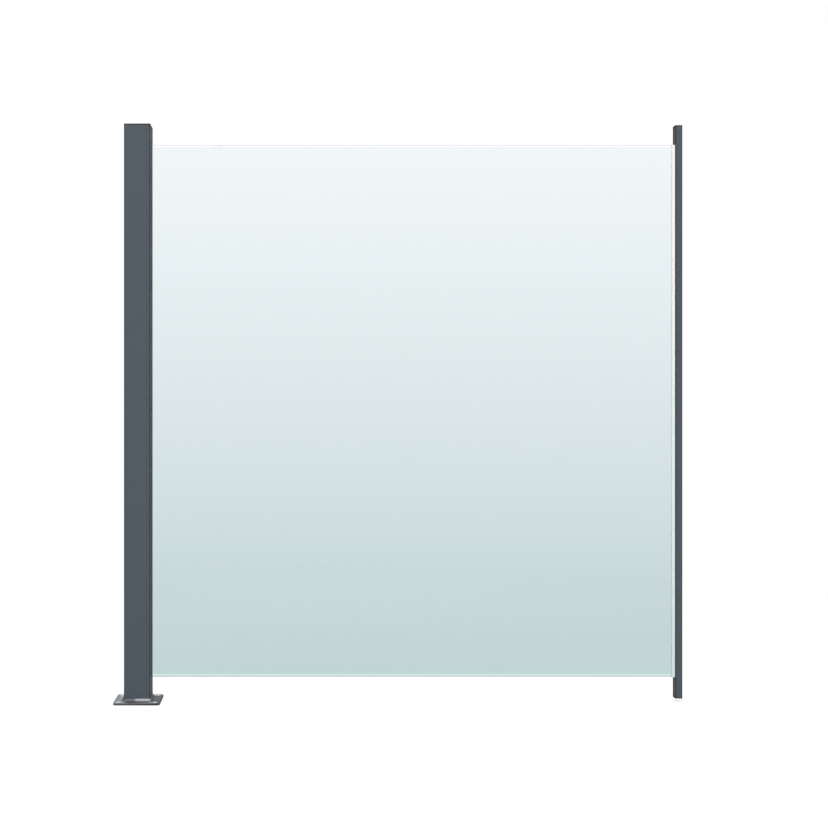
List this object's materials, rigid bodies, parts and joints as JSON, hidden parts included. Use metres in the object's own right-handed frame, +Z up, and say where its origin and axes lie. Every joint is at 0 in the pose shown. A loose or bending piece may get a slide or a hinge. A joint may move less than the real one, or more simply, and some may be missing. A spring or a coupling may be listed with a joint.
{
  "type": "glass railing bay",
  "caption": "Glass railing bay: clear pane held by an aluminium post on a floor plate at one side and a slim wall channel at the other.",
  "frame": {"origin": "centre of the foot plate's flat underside, where it meets the floor", "axes": "+X along the bay from the post to the wall, +Y through the glass away from the front face with the glazing bead, +Z up"},
  "size_m": [1.0825, 0.088, 1.1],
  "materials": {
    "powder_coat": "fine textured anthracite powder coat on extruded aluminium",
    "cast_aluminium": "polished cast aluminium",
    "cap_plastic": "moulded anthracite plastic",
    "black_rubber": "black glazing rubber",
    "clear_seal": "clear soft glazing seal",
    "block_plastic": "moulded black plastic",
    "clear_glass": "clear tempered float glass with a pale green tint and ground bevels"
  },
  "bodies": {
    "root": {"foot_plate": "cast_aluminium", "post": "powder_coat", "glazing_bead": "powder_coat", "post_cap": "cap_plastic", "post_gasket_front": "black_rubber", "post_gasket_back": "black_rubber", "post_setting_block": "block_plastic", "post_filler_block": "block_plastic", "glass_pane": "clear_glass", "wall_channel": "powder_coat", "channel_gasket_front": "clear_seal", "channel_gasket_back": "clear_seal", "channel_setting_block": "block_plastic", "channel_filler_block": "block_plastic", "channel_top_cap": "cap_plastic", "channel_bottom_cap": "cap_plastic"}
  },
  "joints": []
}
